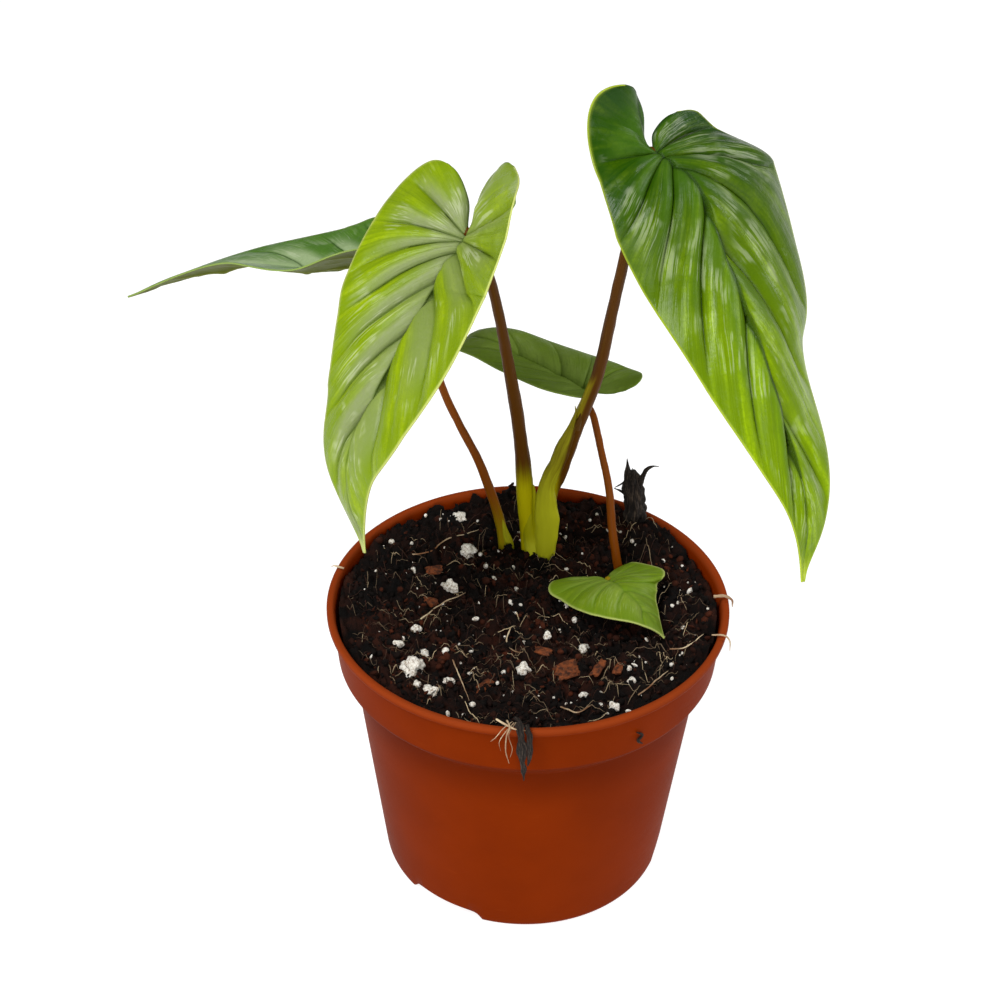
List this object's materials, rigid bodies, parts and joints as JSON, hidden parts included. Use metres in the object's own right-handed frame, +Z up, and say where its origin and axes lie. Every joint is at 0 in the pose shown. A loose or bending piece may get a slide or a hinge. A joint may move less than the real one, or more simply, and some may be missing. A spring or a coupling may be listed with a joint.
{
  "type": "potted philodendron",
  "caption": "Young philodendron with long heart-shaped ribbed leaves on thin stalks, growing from potting mix in a round plastic nursery pot.",
  "frame": {"origin": "middle of the pot's flat base, on the surface it stands on", "axes": "+Z up along the pot's axis, -Y towards the front where the two large leaves hang, +X to the right"},
  "size_m": [0.2054, 0.1453, 0.2479],
  "materials": {
    "pot_plastic": "satin terracotta coloured moulded plastic",
    "potting_mix": "damp coir and bark crumbs",
    "leaf_green": "waxy leaf with sunken veins",
    "stalk": "smooth brown-olive stalk",
    "young_stem": "smooth yellow-green stem base",
    "dry_stem": "dry fibrous remains",
    "perlite": "rough white foamed grains",
    "bark": "rough bark chips",
    "rootlet": "dry pale rootlets"
  },
  "bodies": {
    "root": {"pot": "pot_plastic", "potting_mix": "potting_mix", "rootstock": "young_stem", "front_leaf_blade": "leaf_green", "front_leaf_stalk": "stalk", "right_leaf_blade": "leaf_green", "right_leaf_stalk": "stalk", "left_leaf_blade": "leaf_green", "left_leaf_stalk": "stalk", "rear_leaf_blade": "leaf_green", "rear_leaf_stalk": "stalk", "small_leaf_blade": "leaf_green", "small_leaf_stalk": "stalk", "right_leaf_sheath": "young_stem", "left_leaf_sheath": "young_stem", "dry_stump": "dry_stem", "rim_scrap": "dry_stem", "rim_root": "rootlet", "perlite_01": "perlite", "perlite_02": "perlite", "perlite_03": "perlite", "perlite_04": "perlite", "perlite_05": "perlite", "perlite_06": "perlite", "perlite_07": "perlite", "perlite_08": "perlite", "perlite_09": "perlite", "perlite_10": "perlite", "perlite_11": "perlite", "perlite_12": "perlite", "perlite_13": "perlite", "perlite_14": "perlite", "perlite_15": "perlite", "perlite_16": "perlite", "bark_chip_01": "bark", "bark_chip_02": "bark", "bark_chip_03": "bark", "bark_chip_04": "bark", "bark_chip_05": "bark", "bark_chip_06": "bark", "bark_chip_07": "bark", "rootlet_01": "rootlet", "rootlet_02": "rootlet", "rootlet_03": "rootlet", "rootlet_04": "rootlet", "rootlet_05": "rootlet", "rootlet_06": "rootlet", "rootlet_07": "rootlet"}
  },
  "joints": []
}
